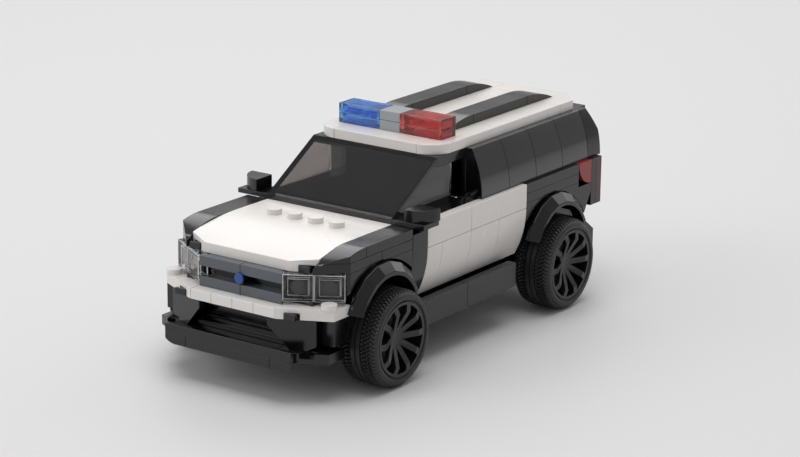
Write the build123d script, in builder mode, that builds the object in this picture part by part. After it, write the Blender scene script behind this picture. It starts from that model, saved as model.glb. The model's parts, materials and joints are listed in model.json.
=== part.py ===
"""A toy police SUV put together from interlocking studded bricks.

Frame: millimetres, +Z up, the front faces -Y, +X is the vehicle's left.
The origin is on the ground, under the middle of the whole toy.
"""
import os

from build123d import *

# ---- the stud grid ---------------------------------------------------------
PITCH = 8.0            # stud to stud
PLATE = 3.2            # height of one plate, a third of a brick
STUD_D = 4.8           # stud diameter
STUD_H = 1.7           # stud height
WALL = 1.5             # wall of a hollow brick or plate
TOP_SKIN = 1.2         # top of a hollow brick or plate
TUBE_D = 6.5           # clutch tube under a plate, outside
TUBE_BORE = 4.8        # clutch tube, inside
SEAM = 0.1             # gap between neighbours that only stand side by side

# ---- the running gear ------------------------------------------------------
TYRE_R = 15.2          # tyre radius, so also the height of the axles
TYRE_W = 14.0          # tyre width
RIM_R = 11.6           # outside radius of the rim, inside radius of the tyre
FACETS = 40            # flats round a tyre and its rim, fine enough to read as round
SPOKES = 10
HUB_RECESS = 2.7       # how far the hub cap lies inside the rim's face
PIN_R = 2.4            # wheel pin
PIN_CLEAR = 0.05       # running clearance round a pin
PIN_RISE = 2.5         # pin's axis above the underside of the plate that carries it
WHEEL_GAP = 2.0        # between the cabin's side and a tyre

# ---- the layout, in studs from the front edge of the bumper ----------------
BODY_STUDS = 20        # length of the body
HALF_WIDTH = 4         # body half width at the doors
HALF_CABIN = 3         # half width of the roof, hood and base plate
FRONT_AXLE = 4
REAR_AXLE = 16
DOOR_FRONT, DOOR_REAR = 7, 14
BAR_LEAD = 2.6         # the low front bar stands this far ahead of the bumper

BASE_Z = TYRE_R - PIN_RISE
FRONT_Y = -(BODY_STUDS * PITCH - BAR_LEAD) / 2


def at_x(studs):
    """X of a line this many studs from the middle."""
    return studs * PITCH


def at_y(studs):
    """Y of a line this many studs behind the bumper's front edge."""
    return FRONT_Y + studs * PITCH


def at_z(plates):
    """Z of a line this many plates above the underside of the base plate."""
    return BASE_Z + plates * PLATE


SIDE = at_x(HALF_WIDTH)
CABIN = at_x(HALF_CABIN)

# plates above the base plate's underside
BUMPER_N = 4
GRILLE_N = 5
HOOD_N = 8
BELT_N = 10
ROOF_N = 15
LIGHT_N = 16


def block(x, y, z, mode=Mode.ADD):
    """A cuboid between pairs of X, Y and Z."""
    centre = ((x[0] + x[1]) / 2, (y[0] + y[1]) / 2, (z[0] + z[1]) / 2)
    with Locations(centre):
        Box(x[1] - x[0], y[1] - y[0], z[1] - z[0], mode=mode)


def studs(columns, rows, z):
    """Studs standing on height z, at every column and row, in studs."""
    spots = [(at_x(c), at_y(r), z + STUD_H / 2) for c in columns for r in rows]
    with Locations(*spots):
        Cylinder(STUD_D / 2, STUD_H)


def profile(plane, points, depth, mode=Mode.ADD):
    """A prism of the outline through the points, drawn on a plane."""
    with BuildSketch(plane) as outline:
        with BuildLine():
            Polyline(*points, close=True)
        make_face()
    extrude(outline.sketch, amount=depth, mode=mode)


def save(part, name):
    """Label a finished piece and write it to its own file."""
    part.label = name
    export_step(part, f"parts/{name}.step")


os.makedirs("parts", exist_ok=True)

# ---- chassis ---------------------------------------------------------------
AXLES = (FRONT_AXLE, REAR_AXLE)
AXLE_HALF = 1                              # an axle plate reaches this many rows either way
MID = (FRONT_AXLE + REAR_AXLE) / 2
# hollow base plates: first and last row
PLATE_ROWS = ((FRONT_AXLE + AXLE_HALF, MID - 2), (MID + 2, REAR_AXLE - AXLE_HALF))
STRIP = 2                                  # each plate is two studs wide
# smooth floor: first and last column, first and last row
FLOOR_TILES = ((-HALF_CABIN, HALF_CABIN, 2, FRONT_AXLE - AXLE_HALF),
               (-1, 1, FRONT_AXLE - AXLE_HALF, FRONT_AXLE + AXLE_HALF),
               (-HALF_CABIN, -1, MID - 2, MID + 2), (-1, 1, MID - 2, MID + 2),
               (1, HALF_CABIN, MID - 2, MID + 2),
               (-1, 1, REAR_AXLE - AXLE_HALF, REAR_AXLE + AXLE_HALF),
               (-HALF_CABIN, HALF_CABIN, REAR_AXLE + AXLE_HALF, BODY_STUDS - 2))
TUBE_SIDES = 8
STRIPS = [(at_x(left) + SEAM / 2, at_x(left + STRIP) - SEAM / 2)
          for left in range(-HALF_CABIN, HALF_CABIN, STRIP)]

with BuildPart() as base_plates:
    for first, last in PLATE_ROWS:
        y = (at_y(first) + SEAM / 2, at_y(last) - SEAM / 2)
        for x in STRIPS:
            block(x, y, (at_z(0), at_z(1)))
            block((x[0] + WALL, x[1] - WALL), (y[0] + WALL, y[1] - WALL),
                  (at_z(0), at_z(1) - TOP_SKIN), mode=Mode.SUBTRACT)
            with BuildSketch(Plane.XY.offset(at_z(0))) as tubes:
                with Locations(*[(sum(x) / 2, at_y(first + 1 + n))
                                 for n in range(int(last - first) - 1)]):
                    RegularPolygon(TUBE_D / 2, TUBE_SIDES)
                    RegularPolygon(TUBE_BORE / 2, TUBE_SIDES, mode=Mode.SUBTRACT)
            extrude(tubes.sketch, amount=PLATE - TOP_SKIN)
save(base_plates.part, "base_plates")

with BuildPart() as floor_tiles:
    for left, right, first, last in FLOOR_TILES:
        block((at_x(left) + SEAM / 2, at_x(right) - SEAM / 2),
              (at_y(first) + SEAM / 2, at_y(last) - SEAM / 2), (at_z(0), at_z(1)))
save(floor_tiles.part, "floor_tiles")

# ---- wheels ----------------------------------------------------------------
WHEELS = (("front_left", 1, FRONT_AXLE), ("front_right", -1, FRONT_AXLE),
          ("rear_left", 1, REAR_AXLE), ("rear_right", -1, REAR_AXLE))
WHEEL_IN = CABIN + WHEEL_GAP               # inner face of a tyre
WHEEL_OUT = WHEEL_IN + TYRE_W
RIM_IN = WHEEL_IN + 1.0
RIM_OUT = WHEEL_OUT - 0.4                  # face of the rim's outer ring
HUB_R = 4.3                                # hub barrel round the pin
HUB_IN = WHEEL_IN + 0.6
WEB_OUT = WHEEL_OUT - 6.0                  # outer face of the disc behind the spokes
WEB_T = 1.6
DRUM_R = 10.7                              # inside radius of the rim's drum
HEAD_R, HEAD_T = 2.9, 0.9                  # head that keeps the wheel on its pin
HEAD_SIDES = 16
CAP_R = 2.4                                # hub cap
CAP_T = 2.0
SPOKE_W = 1.9
SHOULDER = 1.5                             # bevel between a tyre's tread and its side
# a spoke's side view: radius, and distance inside the tyre's outer face
SPOKE_SIDE = ((1.4, 3.1), (8.6, 0.0), (RIM_R - 0.4, 0.5), (RIM_R - 0.4, 1.9), (8.4, 1.6), (1.4, 4.6))


def wheel_plane(side, axle, x):
    """A plane across a wheel, x from the middle of the vehicle, facing outward."""
    return Plane((side * x, at_y(axle), TYRE_R), x_dir=(0, 1, 0), z_dir=(side, 0, 0))


def drum(side, axle, x, radius, sides=FACETS, mode=Mode.ADD):
    """A faceted disc on an axle between a pair of X."""
    with BuildSketch(wheel_plane(side, axle, x[0])) as section:
        RegularPolygon(radius, sides)
    extrude(section.sketch, amount=x[1] - x[0], mode=mode)


def spoke(side, axle, angle):
    """One bent spoke, drawn in the plane through the axle at an angle."""
    reach = Vector(0, 1, 0).rotate(Axis.X, angle)
    hub = Vector(side * WHEEL_OUT, at_y(axle), TYRE_R)
    plane = Plane(hub, x_dir=reach, z_dir=reach.cross(Vector(side, 0, 0)))
    with BuildSketch(plane) as outline:
        with BuildLine():
            Polyline(*[(radius, -depth) for radius, depth in SPOKE_SIDE], close=True)
        make_face()
    extrude(outline.sketch, amount=SPOKE_W / 2, both=True)


with BuildPart() as axle_plates:
    for axle in AXLES:
        block((at_x(1) + SEAM / 2, CABIN), (at_y(axle - AXLE_HALF) + SEAM / 2,
                                            at_y(axle + AXLE_HALF) - SEAM / 2),
              (at_z(0), at_z(1)))
        with BuildSketch(wheel_plane(1, axle, CABIN)) as pin:
            Circle(PIN_R)
        extrude(pin.sketch, amount=WEB_OUT + PIN_CLEAR - CABIN)
        drum(1, axle, (WEB_OUT + PIN_CLEAR, WEB_OUT + PIN_CLEAR + HEAD_T), HEAD_R, HEAD_SIDES)
    mirror(about=Plane.YZ)
save(axle_plates.part, "axle_plates")

for corner, side, axle in WHEELS:
    with BuildPart() as tyre:
        drum(side, axle, (WHEEL_IN, WHEEL_OUT), TYRE_R)
        faces = tyre.faces().filter_by(Axis.X).sort_by(Axis.X)
        chamfer(faces[0].edges() + faces[-1].edges(), SHOULDER)
        drum(side, axle, (WHEEL_IN, WHEEL_OUT), RIM_R, mode=Mode.SUBTRACT)
    save(tyre.part, f"{corner}_tyre")

    with BuildPart() as rim:
        drum(side, axle, (RIM_IN, RIM_OUT), RIM_R)
        drum(side, axle, (RIM_IN, WEB_OUT - WEB_T), DRUM_R, FACETS // 2, mode=Mode.SUBTRACT)
        drum(side, axle, (WEB_OUT, RIM_OUT), DRUM_R, mode=Mode.SUBTRACT)
        drum(side, axle, (HUB_IN, WEB_OUT), HUB_R, HEAD_SIDES)
        drum(side, axle, (WHEEL_OUT - HUB_RECESS - CAP_T, WHEEL_OUT - HUB_RECESS), CAP_R, HEAD_SIDES)
        for turn in range(SPOKES):
            spoke(side, axle, turn * 360 / SPOKES)
        with BuildSketch(wheel_plane(side, axle, HUB_IN)) as bore:
            Circle(PIN_R + PIN_CLEAR)
        extrude(bore.sketch, amount=WEB_OUT - HUB_IN, mode=Mode.SUBTRACT)
    save(rim.part, f"{corner}_rim")

# ---- lower body ------------------------------------------------------------
BRACKET_T = 1.6                            # thin wall of a sideways bracket
TILE_T = PLATE                             # thickness of a tile
SILL_OUT = SIDE + BRACKET_T                # outer face of the sill tiles
SILL_FRONT, SILL_REAR = 6, 13
SILL_H = PITCH                             # a sill tile on its side is one stud high

with BuildPart() as sills:
    middle = (SILL_FRONT + SILL_REAR) / 2
    for first, last in ((SILL_FRONT, middle), (middle, SILL_REAR)):
        y = (at_y(first) + SEAM / 2, at_y(last) - SEAM / 2)
        block((SILL_OUT - TILE_T, SILL_OUT), y, (BASE_Z, BASE_Z + SILL_H))
        block((CABIN, SILL_OUT - TILE_T), y, (BASE_Z, BASE_Z + 2 * PLATE))
    mirror(about=Plane.YZ)
save(sills.part, "sills")

# a curved slope on its side: it is two plates deep at the thick end
CURVE_DEEP = 2 * PLATE
CURVE_DROP = 4.2                           # how far its face falls back
CURVE_RUN = 2 * PITCH                      # over this height


def curved_side(base_x, y, z_thick, upward):
    """A curved slope on its side, thick at z_thick, standing out from base_x.

    It runs up from its thick end if upward is 1, down if it is -1.
    """
    outer = base_x + CURVE_DEEP
    z_thin = z_thick + upward * CURVE_RUN
    with BuildSketch(Plane.XZ.offset(-y[1])) as section:
        with BuildLine():
            Line((base_x, z_thick), (outer, z_thick))
            TangentArc((outer, z_thick), (outer - CURVE_DROP, z_thin), tangent=(0, upward))
            Line((outer - CURVE_DROP, z_thin), (base_x, z_thin))
            Line((base_x, z_thin), (base_x, z_thick))
        make_face()
    extrude(section.sketch, amount=y[1] - y[0])


DOOR_BASE = SIDE - CURVE_DEEP              # plane that carries the doors' pieces
DOOR_SPLIT = at_z(BELT_N) - PITCH          # between the tile row and the curved row
DOOR_LOW = DOOR_SPLIT - CURVE_RUN
DOOR_SLOPES = ((7, 8), (8, 10), (10, 12), (12, 14))
DOOR_TILES = ((7, 10), (10, 14))

with BuildPart() as door_tiles:
    for first, last in DOOR_TILES:
        block((SIDE - TILE_T, SIDE), (at_y(first) + SEAM / 2, at_y(last) - SEAM / 2),
              (DOOR_SPLIT + SEAM, at_z(BELT_N)))
    mirror(about=Plane.YZ)
save(door_tiles.part, "door_tiles")

with BuildPart() as door_slopes:
    for first, last in DOOR_SLOPES:
        curved_side(DOOR_BASE, (at_y(first) + SEAM / 2, at_y(last) - SEAM / 2), DOOR_SPLIT, -1)
    mirror(about=Plane.YZ)
save(door_slopes.part, "door_slopes")

with BuildPart() as door_posts:
    y = (at_y(DOOR_FRONT - 1) + SEAM / 2, at_y(DOOR_FRONT) - SEAM / 2)
    curved_side(DOOR_BASE, y, DOOR_SPLIT, -1)
    block((DOOR_BASE, SIDE), y, (DOOR_SPLIT, at_z(BELT_N) - 2))
    mirror(about=Plane.YZ)
save(door_posts.part, "door_posts")

with BuildPart() as door_backing:
    y = (at_y(DOOR_FRONT - 1), at_y(DOOR_REAR))
    block((DOOR_BASE - BRACKET_T, DOOR_BASE), y, (DOOR_LOW, at_z(BELT_N)))
    block((DOOR_BASE, SIDE - TILE_T), (at_y(DOOR_FRONT), y[1]), (DOOR_SPLIT + SEAM, at_z(BELT_N)))
    mirror(about=Plane.YZ)
save(door_backing.part, "door_backing")

# ---- fenders and rear quarters ---------------------------------------------
SWEEP = 31.0                               # headlights fall back at this angle
LAMP_X, LAMP_Y = 15.9, 3.8                 # inner front corner of a headlight
LAMP_W, LAMP_H, LAMP_T = 9.4, 8.3, 3.2     # each of a headlight's two blocks
LAMP_Z = at_z(GRILLE_N) + 1.2
SWEEP_X = Vector(1, 0, 0).rotate(Axis.Z, SWEEP)
SWEEP_TAN = SWEEP_X.Y / SWEEP_X.X
lamp_plane = Plane((LAMP_X, FRONT_Y + LAMP_Y, LAMP_Z),
                   x_dir=SWEEP_X, z_dir=(0, 0, 1))
LAMP_BRACKET = 1.6                         # wall behind a headlight
LAMP_BACK = LAMP_T + LAMP_BRACKET + 2 * SEAM
ARCH_R = 23.3                              # radius of a fender's opening round a wheel
FENDER_FRONT, FENDER_REAR = 1, 6
NOSE_Z = at_z(HOOD_N) + 1.8                # lowest point of the curve over the fender's nose
NOSE_END = 3                               # row where the curve reaches the belt
QUARTER_REAR = 19


def arch_cut(x, axle, radius):
    """Cut a round wheel arch through the pieces between a pair of X."""
    with BuildSketch(Plane.YZ.offset(x[0])) as opening:
        with Locations((at_y(axle), TYRE_R)):
            Circle(radius)
    extrude(opening.sketch, amount=x[1] - x[0], mode=Mode.SUBTRACT)


# the fender's form, cut into rows of pieces below: its front corner is cut off at 45 degrees
with BuildPart() as fender_form:
    with BuildSketch(Plane.YZ.offset(CABIN)) as outline:
        with BuildLine():
            Line((at_y(FENDER_FRONT), at_z(GRILLE_N)), (at_y(FENDER_FRONT), NOSE_Z))
            TangentArc((at_y(NOSE_END), at_z(BELT_N)), (at_y(FENDER_FRONT), NOSE_Z),
                       tangent=(-1, 0))
            Line((at_y(NOSE_END), at_z(BELT_N)), (at_y(FENDER_REAR), at_z(BELT_N)))
            Line((at_y(FENDER_REAR), at_z(BELT_N)), (at_y(FENDER_REAR), at_z(GRILLE_N)))
            Line((at_y(FENDER_REAR), at_z(GRILLE_N)), (at_y(FENDER_FRONT), at_z(GRILLE_N)))
        make_face()
    extrude(outline.sketch, amount=PITCH)
    profile(Plane.XY.offset(at_z(GRILLE_N)),
            [(CABIN, at_y(FENDER_FRONT)), (SIDE, at_y(FENDER_FRONT)),
             (SIDE, at_y(FENDER_FRONT) + PITCH)], 6 * PLATE, mode=Mode.SUBTRACT)
    with BuildSketch(lamp_plane.offset(-PLATE)) as pocket:
        Rectangle(2 * LAMP_W + 2 * SEAM, LAMP_BACK, align=(Align.MIN, Align.MIN))
    extrude(pocket.sketch, amount=PLATE + LAMP_H + SEAM, mode=Mode.SUBTRACT)
    arch_cut((CABIN, SIDE), FRONT_AXLE, ARCH_R)

# rows of fender pieces: name, then first and last stud row and first and last plate of each
FENDER_ROWS = (("fenders", ((FENDER_FRONT, FENDER_REAR, GRILLE_N, HOOD_N),)),
               ("fender_plates", ((FENDER_FRONT, FRONT_AXLE, HOOD_N, HOOD_N + 1),
                                  (FRONT_AXLE, FENDER_REAR, HOOD_N, HOOD_N + 1))),
               ("fender_slopes", ((FENDER_FRONT, NOSE_END, HOOD_N + 1, BELT_N),
                                  (NOSE_END, FENDER_REAR, HOOD_N + 1, BELT_N))))
for name, pieces in FENDER_ROWS:
    with BuildPart() as row:
        for first, last, bottom, top in pieces:
            with BuildPart(mode=Mode.PRIVATE) as piece:
                block((CABIN, SIDE), (at_y(first), at_y(last) - SEAM), (at_z(bottom), at_z(top)))
                add(fender_form.part, mode=Mode.INTERSECT)
            add(piece.part)
        mirror(about=Plane.YZ)
    save(row.part, name)

QUARTER_FOOT = (18.4, 4)                   # row and plate of the lower rear corner

with BuildPart() as rear_quarters:
    front = at_y(DOOR_REAR) + SEAM / 2
    profile(Plane.YZ.offset(CABIN),
            [(front, at_z(3)), (front, at_z(BELT_N - 2)), (at_y(QUARTER_REAR), at_z(BELT_N - 2)),
             (at_y(QUARTER_REAR), at_z(6.6)), (at_y(QUARTER_FOOT[0]), at_z(QUARTER_FOOT[1])),
             (at_y(QUARTER_REAR - 1), at_z(QUARTER_FOOT[1])), (at_y(QUARTER_REAR - 1), at_z(3))],
            PITCH)
    block((SIDE - TILE_T, SIDE), (at_y(QUARTER_REAR - 1), at_y(QUARTER_REAR)),
          (DOOR_SPLIT, at_z(BELT_N)), mode=Mode.SUBTRACT)
    arch_cut((CABIN, SIDE), REAR_AXLE, ARCH_R)
    mirror(about=Plane.YZ)
save(rear_quarters.part, "rear_quarters")

with BuildPart() as quarter_plates:
    block((CABIN, SIDE), (front, at_y(QUARTER_REAR)), (at_z(BELT_N - 2), at_z(BELT_N - 1)))
    block((SIDE - TILE_T, SIDE), (at_y(QUARTER_REAR - 1), at_y(QUARTER_REAR)),
          (at_z(BELT_N - 2), at_z(BELT_N)), mode=Mode.SUBTRACT)
    arch_cut((CABIN, SIDE), REAR_AXLE, ARCH_R)
    mirror(about=Plane.YZ)
save(quarter_plates.part, "quarter_plates")

LAMP_FRONT = 18
with BuildPart() as belt_plates:
    block((CABIN, SIDE), (at_y(DOOR_REAR) + SEAM / 2, at_y(LAMP_FRONT) - SEAM / 2),
          (at_z(BELT_N - 1), at_z(BELT_N)))
    mirror(about=Plane.YZ)
save(belt_plates.part, "belt_plates")

# ---- arch flares -----------------------------------------------------------
FLARE_OUT = SIDE + PITCH / 2               # they stand half a stud out from the body
FLARE_R = 18.3                             # radius of the opening
FLARE_RIM = 22.6                           # radius of the corners
FLARE_TURNS = (31, 47, 64, 90, 116, 133, 149)    # angle of each corner
FLARE_BEVEL = 2.3
FLARE_SEAT = 13.0                          # half length of the part inside the fender

with BuildPart() as arch_flares:
    for axle in AXLES:
        with BuildPart(mode=Mode.PRIVATE) as flare:
            corners = [Vector(FLARE_RIM, 0).rotate(Axis.Z, turn) for turn in FLARE_TURNS]
            with BuildSketch(wheel_plane(1, axle, CABIN)) as section:
                with BuildLine():
                    Polyline(*corners, close=True)
                make_face()
            extrude(section.sketch, amount=FLARE_OUT - CABIN)
            face = flare.faces().sort_by(Axis.X)[-1]
            chamfer(face.edges().sort_by(Axis.Z)[1:], FLARE_BEVEL)
            for turn in (-1, 1):
                ends = sorted((at_y(axle) + turn * FLARE_SEAT, at_y(axle) + turn * 4 * PITCH))
                block((CABIN, SIDE), ends, (at_z(1), at_z(BELT_N)), mode=Mode.SUBTRACT)
            arch_cut((CABIN, FLARE_OUT), axle, FLARE_R)
        add(flare.part)
    mirror(about=Plane.YZ)
save(arch_flares.part, "arch_flares")

# ---- cabin -----------------------------------------------------------------
CABIN_WALL = BRACKET_T
WINDOW_FIRST, WINDOW_LAST, WINDOW_STEP = 11, 19, 2
WINDOW_Z = at_z(BELT_N)
ROOF_FRONT, ROOF_REAR = 9, 20
GLASS_FRONT, GLASS_REAR = 6, 10

with BuildPart() as window_slopes:
    for first in range(WINDOW_FIRST, WINDOW_LAST, WINDOW_STEP):
        curved_side(CABIN, (at_y(first) + SEAM / 2, at_y(first + WINDOW_STEP) - SEAM / 2),
                    WINDOW_Z, 1)
    mirror(about=Plane.YZ)
save(window_slopes.part, "window_slopes")

REAR_CHAMFER = 4.0
with BuildPart() as rear_corners:
    curved_side(CABIN, (at_y(WINDOW_LAST) + SEAM / 2, at_y(ROOF_REAR)), WINDOW_Z, 1)
    profile(Plane.YZ.offset(CABIN - 1),
            [(at_y(ROOF_REAR) + 1, at_z(12)), (at_y(ROOF_REAR) + 1, at_z(ROOF_N) + 1),
             (at_y(ROOF_REAR) - REAR_CHAMFER, at_z(ROOF_N) + 1)], PITCH, mode=Mode.SUBTRACT)
    mirror(about=Plane.YZ)
save(rear_corners.part, "rear_corners")

with BuildPart() as body_walls:
    profile(Plane.YZ.offset(CABIN - CABIN_WALL),
            [(at_y(2), at_z(1)), (at_y(2), at_z(HOOD_N)), (at_y(GLASS_FRONT), at_z(HOOD_N)),
             (at_y(GLASS_FRONT), at_z(BELT_N)), (at_y(WINDOW_FIRST), at_z(BELT_N)),
             (at_y(WINDOW_FIRST), at_z(ROOF_N - 1)), (at_y(ROOF_REAR - 1), at_z(ROOF_N - 1)),
             (at_y(ROOF_REAR - 1), at_z(3)), (at_y(ROOF_REAR - 2), at_z(3)),
             (at_y(ROOF_REAR - 2), at_z(1))], CABIN_WALL)
    mirror(about=Plane.YZ)
save(body_walls.part, "body_walls")

with BuildPart() as roof_base:
    block((-CABIN, CABIN), (at_y(ROOF_FRONT), at_y(ROOF_REAR)), (at_z(ROOF_N - 1), at_z(ROOF_N)))
save(roof_base.part, "roof_base")

# roof tiles: first and last column, first and last row
EDGE = HALF_CABIN - 1
ROOF_TILES = ((-EDGE, EDGE, 9, 10), (-EDGE, EDGE, 10, 19), (-EDGE, -1, 19, 20), (-1, 1, 19, 20),
              (1, EDGE, 19, 20), (EDGE, HALF_CABIN, 10, 11), (EDGE, HALF_CABIN, 11, 17),
              (EDGE, HALF_CABIN, 17, 18), (-HALF_CABIN, -EDGE, 10, 11),
              (-HALF_CABIN, -EDGE, 11, 17), (-HALF_CABIN, -EDGE, 17, 18))

with BuildPart() as roof_tiles:
    for left, right, first, last in ROOF_TILES:
        block((at_x(left) + SEAM / 2, at_x(right) - SEAM / 2),
              (at_y(first) + SEAM / 2, at_y(last) - SEAM / 2), (at_z(ROOF_N), at_z(ROOF_N + 1)))
save(roof_tiles.part, "roof_tiles")

with BuildPart() as roof_corners:
    with BuildSketch(Plane.XY.offset(at_z(ROOF_N))) as quarter:
        with Locations((at_x(EDGE) + SEAM / 2, at_y(ROOF_FRONT + 1) - SEAM / 2)):
            Circle(PITCH - SEAM / 2)
            Rectangle(4 * PITCH, 2 * PITCH, align=(Align.CENTER, Align.MIN), mode=Mode.SUBTRACT)
            Rectangle(2 * PITCH, 4 * PITCH, align=(Align.MAX, Align.CENTER), mode=Mode.SUBTRACT)
    extrude(quarter.sketch, amount=PLATE)
    profile(Plane.XY.offset(at_z(ROOF_N)),
            [(at_x(EDGE) + SEAM / 2, at_y(18) + SEAM / 2), (CABIN, at_y(18) + SEAM / 2),
             (CABIN, at_y(19)), (at_x(EDGE) + SEAM / 2, at_y(20))], PLATE)
    mirror(about=Plane.YZ)
save(roof_corners.part, "roof_corners")

# ---- roof rails ------------------------------------------------------------
RAIL_IN, RAIL_OUT = 1, 2
RAIL_ENDS = ((11, 13), (19, 17))           # a curved end's tip, and where it is at full height
RAIL_TOP = at_z(ROOF_N + 2)
ROOF_Z = at_z(ROOF_N + 1)
with BuildPart() as roof_rails:
    for end, flat in RAIL_ENDS:
        turn = 1 if end > flat else -1
        with BuildSketch(Plane.YZ.offset(at_x(RAIL_IN) + SEAM / 2)) as outline:
            with BuildLine():
                Line((at_y(flat), ROOF_Z), (at_y(end), ROOF_Z))
                TangentArc((at_y(flat), RAIL_TOP), (at_y(end), ROOF_Z), tangent=(turn, 0))
                Line((at_y(flat), RAIL_TOP), (at_y(flat), ROOF_Z))
            make_face()
        extrude(outline.sketch, amount=PITCH - SEAM)
    block((at_x(RAIL_IN) + SEAM / 2, at_x(RAIL_OUT) - SEAM / 2),
          (at_y(RAIL_ENDS[0][1]) + SEAM, at_y(RAIL_ENDS[1][1]) - SEAM), (ROOF_Z, RAIL_TOP))
    mirror(about=Plane.YZ)
save(roof_rails.part, "roof_rails")

# ---- light bar: name, first and last half column ---------------------------
LIGHTS = (("blue", -2.5, -0.5), ("grey", -0.5, 0.5), ("red", 0.5, 2.5))
for colour, left, right in LIGHTS:
    with BuildPart() as light:
        for n in (LIGHT_N, LIGHT_N + 1):
            block((at_x(left) + SEAM / 2, at_x(right) - SEAM / 2),
                  (at_y(ROOF_FRONT + 1), at_y(ROOF_FRONT + 2)),
                  (at_z(n) + (n - LIGHT_N) * SEAM, at_z(n + 1)))
    save(light.part, f"light_bar_{colour}")

# ---- windshield ------------------------------------------------------------
GLASS_T = 1.4
GLASS_Z = at_z(BELT_N)
with BuildPart() as windshield:
    outline = [(at_y(GLASS_FRONT), GLASS_Z), (at_y(GLASS_REAR), GLASS_Z),
               (at_y(GLASS_REAR), at_z(ROOF_N)), (at_y(ROOF_FRONT), at_z(ROOF_N)),
               (at_y(GLASS_FRONT), GLASS_Z + PLATE / 2)]
    profile(Plane.YZ.offset(-CABIN), outline, 2 * CABIN)
    inner = [(at_y(GLASS_FRONT) + 2 * GLASS_T, GLASS_Z - 1), (at_y(GLASS_REAR) + 1, GLASS_Z - 1),
             (at_y(GLASS_REAR) + 1, at_z(ROOF_N) - GLASS_T),
             (at_y(ROOF_FRONT) + GLASS_T, at_z(ROOF_N) - GLASS_T),
             (at_y(GLASS_FRONT) + 2 * GLASS_T, GLASS_Z + PLATE / 2)]
    profile(Plane.YZ.offset(-CABIN + GLASS_T), inner, 2 * (CABIN - GLASS_T), mode=Mode.SUBTRACT)
    block((-CABIN, CABIN), (at_y(ROOF_FRONT), at_y(GLASS_REAR) + 1),
          (at_z(ROOF_N - 1), at_z(ROOF_N) + 1), mode=Mode.SUBTRACT)
save(windshield.part, "windshield")

# ---- hood ------------------------------------------------------------------
NOTCH = (2.6, 6.9, 2.1)                    # notch under a wedge: from and to across it, height
HOOD_LEAD = 0.8                            # the hood's lip stands ahead of its stud row
HOOD_TAPER = 0.5                           # the wedge falls back this much per mm of width
HOOD_FLAT = 4                              # the hood is level from this row back
COWL = 5
HOOD_STUDS = (-1.5, -0.5, 0.5, 1.5)

with BuildPart() as hood_front:
    front = at_y(1) - HOOD_LEAD
    side = front + PITCH * HOOD_TAPER
    profile(Plane.XY.offset(at_z(HOOD_N)),
            [(-CABIN, side), (at_x(-EDGE), front), (at_x(EDGE), front), (CABIN, side),
             (CABIN, at_y(3)), (-CABIN, at_y(3))], PLATE)
    for turn in (-1, 1):
        block(sorted((turn * (at_x(EDGE) + NOTCH[0]), turn * (at_x(EDGE) + NOTCH[1]))),
              (front, at_y(2)), (at_z(HOOD_N), at_z(HOOD_N) + NOTCH[2]), mode=Mode.SUBTRACT)
save(hood_front.part, "hood_front")

with BuildPart() as hood:
    with BuildSketch(Plane.YZ.offset(-CABIN)) as outline:
        with BuildLine():
            Line((at_y(COWL), at_z(HOOD_N + 1)), (front, at_z(HOOD_N + 1)))
            TangentArc((at_y(HOOD_FLAT), at_z(BELT_N)), (front, at_z(HOOD_N + 1)), tangent=(-1, 0))
            Line((at_y(HOOD_FLAT), at_z(BELT_N)), (at_y(COWL), at_z(BELT_N)))
            Line((at_y(COWL), at_z(BELT_N)), (at_y(COWL), at_z(HOOD_N + 1)))
        make_face()
    extrude(outline.sketch, amount=2 * CABIN)
    for turn in (-1, 1):
        profile(Plane.XY.offset(at_z(HOOD_N + 1)),
                [(turn * at_x(EDGE), front - 1), (turn * at_x(EDGE), front), (turn * CABIN, side),
                 (turn * (CABIN + 1), side), (turn * (CABIN + 1), front - 1)],
                3 * PLATE, mode=Mode.SUBTRACT)
    studs(HOOD_STUDS, (HOOD_FLAT + 0.5,), at_z(BELT_N))
save(hood.part, "hood")

with BuildPart() as cowl:
    block((-CABIN, CABIN), (at_y(COWL) + SEAM, at_y(GLASS_FRONT) - SEAM),
          (at_z(BELT_N - 1), at_z(BELT_N)))
save(cowl.part, "cowl")

with BuildPart() as hood_base:
    block((-CABIN + CABIN_WALL, CABIN - CABIN_WALL), (at_y(3) + SEAM, at_y(GLASS_FRONT + 1)),
          (at_z(HOOD_N), at_z(HOOD_N + 1)))
save(hood_base.part, "hood_base")

# ---- grille and headlights -------------------------------------------------
GRILLE_Y = at_y(0.5)
DOT_R = 1.65
DOT_T = 0.8                                # the dot's thickness, ahead of the grille
DOT_RISE = 0.5                             # its centre lies this much above its stem's

with BuildPart() as grille_tiles:
    slant = LAMP_T + SEAM                      # the ends make room for the headlights
    end_x = LAMP_X - 2 * SEAM
    for n in (GRILLE_N, GRILLE_N + 2):
        for turn in (-1, 1):
            profile(Plane.XY.offset(at_z(n)),
                    [(turn * SEAM / 2, GRILLE_Y), (turn * end_x, GRILLE_Y),
                     (turn * (end_x - slant * SWEEP_TAN), GRILLE_Y + slant),
                     (turn * (end_x - slant * SWEEP_TAN), GRILLE_Y + PITCH),
                     (turn * SEAM / 2, GRILLE_Y + PITCH)], PLATE)
save(grille_tiles.part, "grille_tiles")

with BuildPart() as grille_core:
    for n, row in ((GRILLE_N, 1.5), (GRILLE_N + 1, 1), (GRILLE_N + 2, 1.5)):
        block((-at_x(EDGE) + BRACKET_T, at_x(EDGE) - BRACKET_T), (at_y(row), at_y(2.5)),
              (at_z(n), at_z(n + 1)))
    with BuildSketch(Plane((0, at_y(1), at_z(GRILLE_N + 1.5)), z_dir=(0, -1, 0))) as stem:
        Circle(PLATE / 2 - SEAM)
    extrude(stem.sketch, amount=at_y(1) - GRILLE_Y)
save(grille_core.part, "grille_core")

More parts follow.
